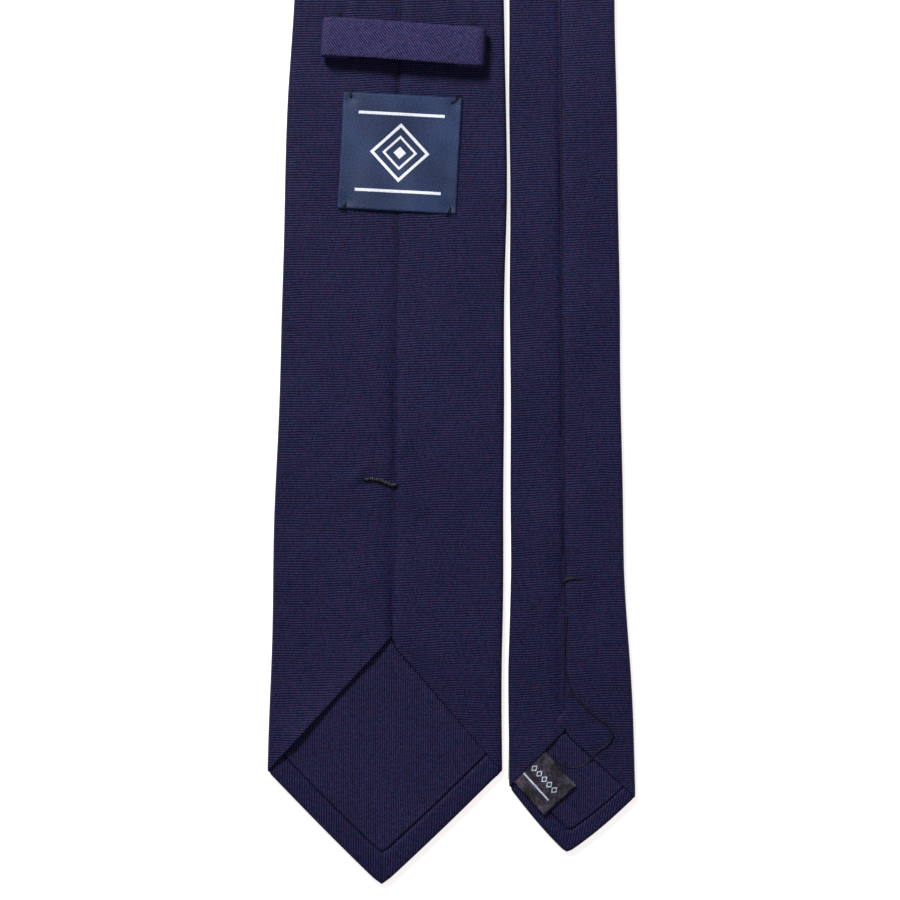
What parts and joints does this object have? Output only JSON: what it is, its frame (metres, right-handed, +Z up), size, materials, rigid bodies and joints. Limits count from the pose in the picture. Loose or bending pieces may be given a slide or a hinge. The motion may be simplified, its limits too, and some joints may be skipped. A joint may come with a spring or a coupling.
{
  "type": "necktie",
  "caption": "Necktie laid flat with its back up: a wide and a narrow pointed blade side by side, joined at the top by a folded neck strip, with a keeper loop and a label.",
  "frame": {"origin": "middle of the underside of the whole tie, as it lies flat with its back up", "axes": "+Z up off the back of the tie, +Y from the tips towards the neck, +X from the wide side to the narrow side"},
  "size_m": [0.126, 0.7416, 0.0103],
  "materials": {
    "blade_silk": "ribbed two-tone silk, dark navy with a faint plum thread",
    "tipping_silk": "the same ribbed silk turned by 90 degrees",
    "loop_silk": "the same ribbed silk on the bias, brighter",
    "label_satin": "woven satin, dark blue with a plain white woven border and lozenge",
    "tag_satin": "printed satin ribbon, left plain",
    "thread": "black twisted thread",
    "wool_interlining": "undyed brushed wool"
  },
  "bodies": {
    "wide_blade": {"wide_blade_shell": "blade_silk", "neck_shell_wide_side": "blade_silk", "wide_join_stitch": "thread", "wide_interlining": "wool_interlining", "wide_tipping": "tipping_silk", "wide_slip_stitch": "thread", "wide_bar_tack": "thread", "back_label": "label_satin", "label_tack_upper_left": "thread", "label_tack_upper_right": "thread", "label_tack_lower_left": "thread", "label_tack_lower_right": "thread", "loop_tack_left": "thread", "loop_tack_right": "thread"},
    "keeper_loop": {"keeper_loop": "loop_silk"},
    "neck_bridge": {"neck_shell_bridge": "blade_silk", "bridge_interlining": "wool_interlining", "bridge_slip_stitch": "thread"},
    "narrow_blade": {"narrow_blade_shell": "blade_silk", "neck_shell_narrow_side": "blade_silk", "narrow_join_stitch": "thread", "narrow_interlining": "wool_interlining", "narrow_tipping": "tipping_silk", "narrow_slip_stitch": "thread", "narrow_bar_tack": "thread", "spare_thread": "thread"},
    "care_tag": {"care_tag": "tag_satin"}
  },
  "joints": [
    {"name": "wide_crease", "type": "hinge", "parent": "wide_blade", "child": "neck_bridge", "pos_m": [-0.01091, 0.35282, 0.00385], "axis": [-0.7071, -0.7071, 0], "range_deg": [0, 180]},
    {"name": "narrow_crease", "type": "hinge", "parent": "neck_bridge", "child": "narrow_blade", "pos_m": [0.03309, 0.35282, 0.00385], "axis": [0.7071, -0.7071, 0], "range_deg": [0, 180]},
    {"name": "keeper_lift", "type": "hinge", "parent": "wide_blade", "child": "keeper_loop", "pos_m": [-0.01525, -0.07464, 0.004], "axis": [-0.9977, 0.068, 0], "range_deg": [0, 40]},
    {"name": "tag_lift", "type": "hinge", "parent": "narrow_blade", "child": "care_tag", "pos_m": [0.02525, -0.32927, 0.0042], "axis": [-0.7377, -0.6751, 0], "range_deg": [0, 110]}
  ]
}
